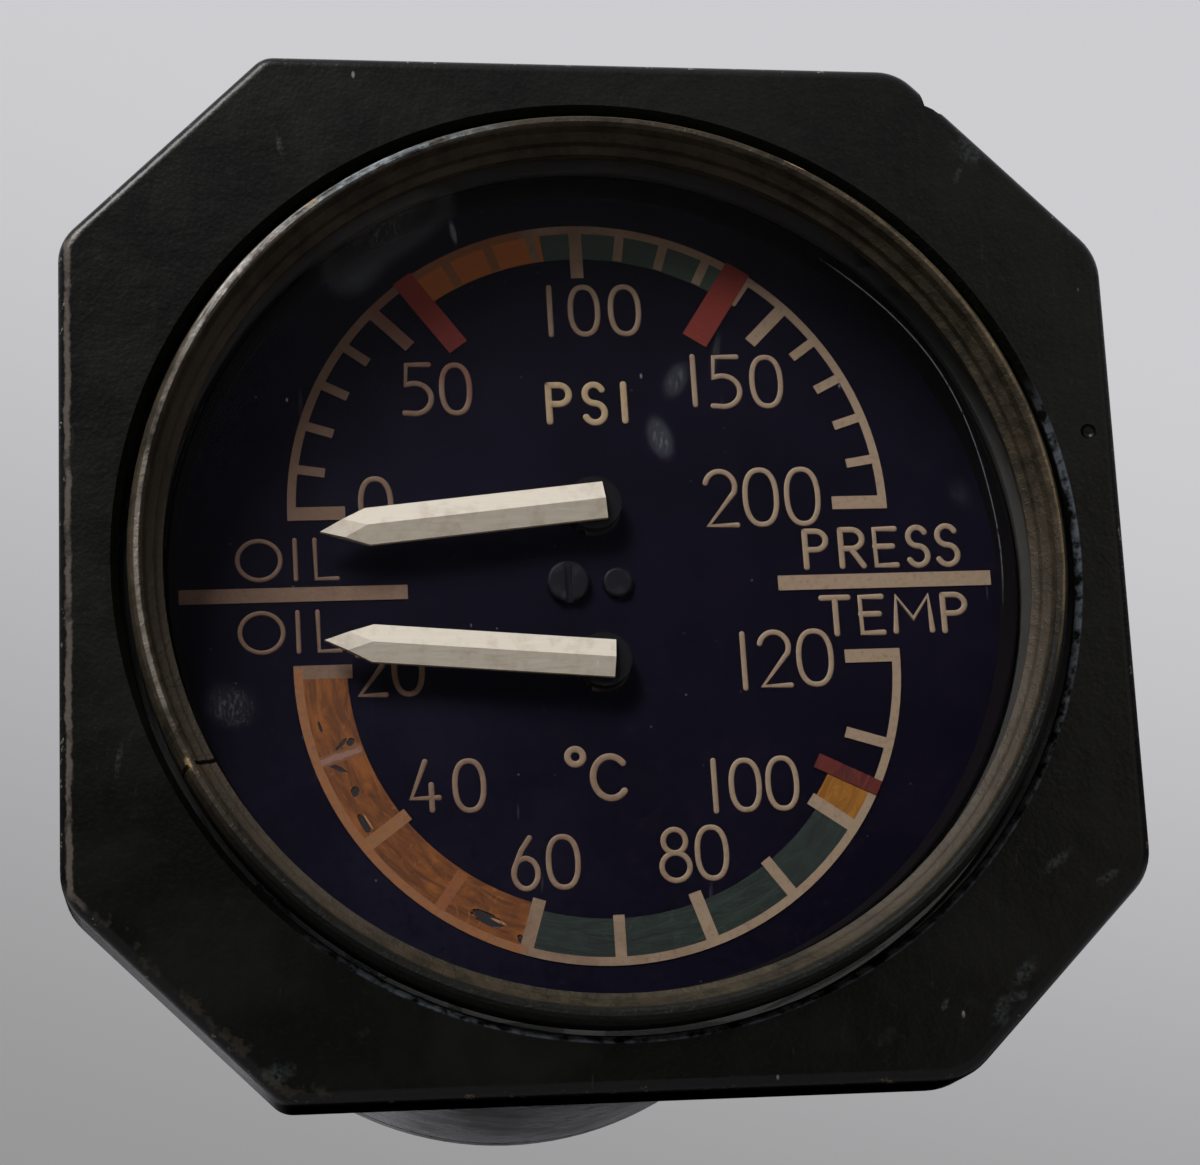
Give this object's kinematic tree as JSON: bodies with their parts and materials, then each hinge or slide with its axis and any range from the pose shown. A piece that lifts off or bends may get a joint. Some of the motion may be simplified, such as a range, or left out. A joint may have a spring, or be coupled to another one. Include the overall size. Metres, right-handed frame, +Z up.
{
  "type": "aircraft oil pressure and temperature indicator",
  "caption": "Panel gauge with an octagonal bezel, a glass window over a black dial with two half-circle scales and two pointers, a round clamp-mounted case and a rear pin connector.",
  "frame": {"origin": "on the case axis, in the plane of the bezel flange's rear face, which meets the panel", "axes": "+Y along the case from the dial to the rear connector, +Z up on the dial, +X to the right as the dial is read"},
  "size_m": [0.0604, 0.0909, 0.0604],
  "materials": {
    "bezel_enamel": "satin",
    "ring_bronze": "satin",
    "window": "gloss",
    "seal_rubber": "matte",
    "mask_black": "matte",
    "dial_black": "matte",
    "print_cream": "matte",
    "print_orange": "matte",
    "print_green": "matte",
    "print_amber": "matte",
    "print_red": "matte",
    "pointer_white": "matte",
    "hub_black": "satin",
    "steel": "satin",
    "steel_black": "satin",
    "brass": "satin",
    "magnet": "satin",
    "moulding_black": "matte",
    "copper_wire": "gloss",
    "iron_shield": "matte",
    "plate_aluminium": "satin",
    "board_laminate": "satin",
    "lug_tin": "satin",
    "resistor_brown": "matte",
    "jewel": "gloss",
    "connector_shell": "satin",
    "pin_gold": "gloss",
    "wire_sleeve": "matte"
  },
  "bodies": {
    "housing": {"case": "bezel_enamel", "window_seal": "seal_rubber", "window_glass": "window", "retaining_ring": "ring_bronze", "mask_ring": "mask_black", "dial_plate": "dial_black", "dial_screw": "steel_black", "dial_pin": "steel_black", "dial_post": "brass", "pressure_scale": "print_cream", "temperature_scale": "print_cream", "divider_lines": "print_cream", "red_limit_bars": "print_red", "orange_bands": "print_orange", "green_bands": "print_green", "amber_band": "print_amber", "front_jewels": "jewel", "front_plate": "plate_aluminium", "middle_plate": "plate_aluminium", "rear_plate": "plate_aluminium", "front_spacers": "brass", "middle_spacers": "brass", "rear_spacers": "brass", "tie_screws": "steel", "terminal_board": "board_laminate", "terminal_lugs": "lug_tin", "trim_resistors": "resistor_brown", "rear_cover": "bezel_enamel", "rear_cover_seal": "seal_rubber", "cover_screws": "steel_black", "connector_gasket": "seal_rubber", "connector_shell": "connector_shell", "connector_insert": "moulding_black", "connector_pins": "pin_gold", "connector_screws": "steel", "lead_wires": "wire_sleeve", "pressure_coil_former": "moulding_black", "pressure_windings": "copper_wire", "pressure_shield": "iron_shield", "pressure_return_magnet": "magnet", "pressure_rear_jewel": "jewel", "temperature_coil_former": "moulding_black", "temperature_windings": "copper_wire", "temperature_shield": "iron_shield", "temperature_return_magnet": "magnet", "temperature_rear_jewel": "jewel"},
    "pressure_needle": {"pressure_pointer": "pointer_white", "pressure_hub": "hub_black", "pressure_staff": "steel", "pressure_balance_weight": "brass", "pressure_rotor": "magnet"},
    "temperature_needle": {"temperature_pointer": "pointer_white", "temperature_hub": "hub_black", "temperature_staff": "steel", "temperature_balance_weight": "brass", "temperature_rotor": "magnet"}
  },
  "joints": [
    {"name": "pressure_pivot", "type": "hinge", "parent": "housing", "child": "pressure_needle", "pos_m": [-0.00009, 0, 0.0047], "axis": [0, 1, 0], "range_deg": [0, 190], "stiffness_Nm_per_rad": 0.000002, "springref_deg": -28.65},
    {"name": "temperature_pivot", "type": "hinge", "parent": "housing", "child": "temperature_needle", "pos_m": [0.00009, 0, -0.0047], "axis": [0, -1, 0], "range_deg": [0, 190], "stiffness_Nm_per_rad": 0.000002, "springref_deg": -28.65}
  ]
}
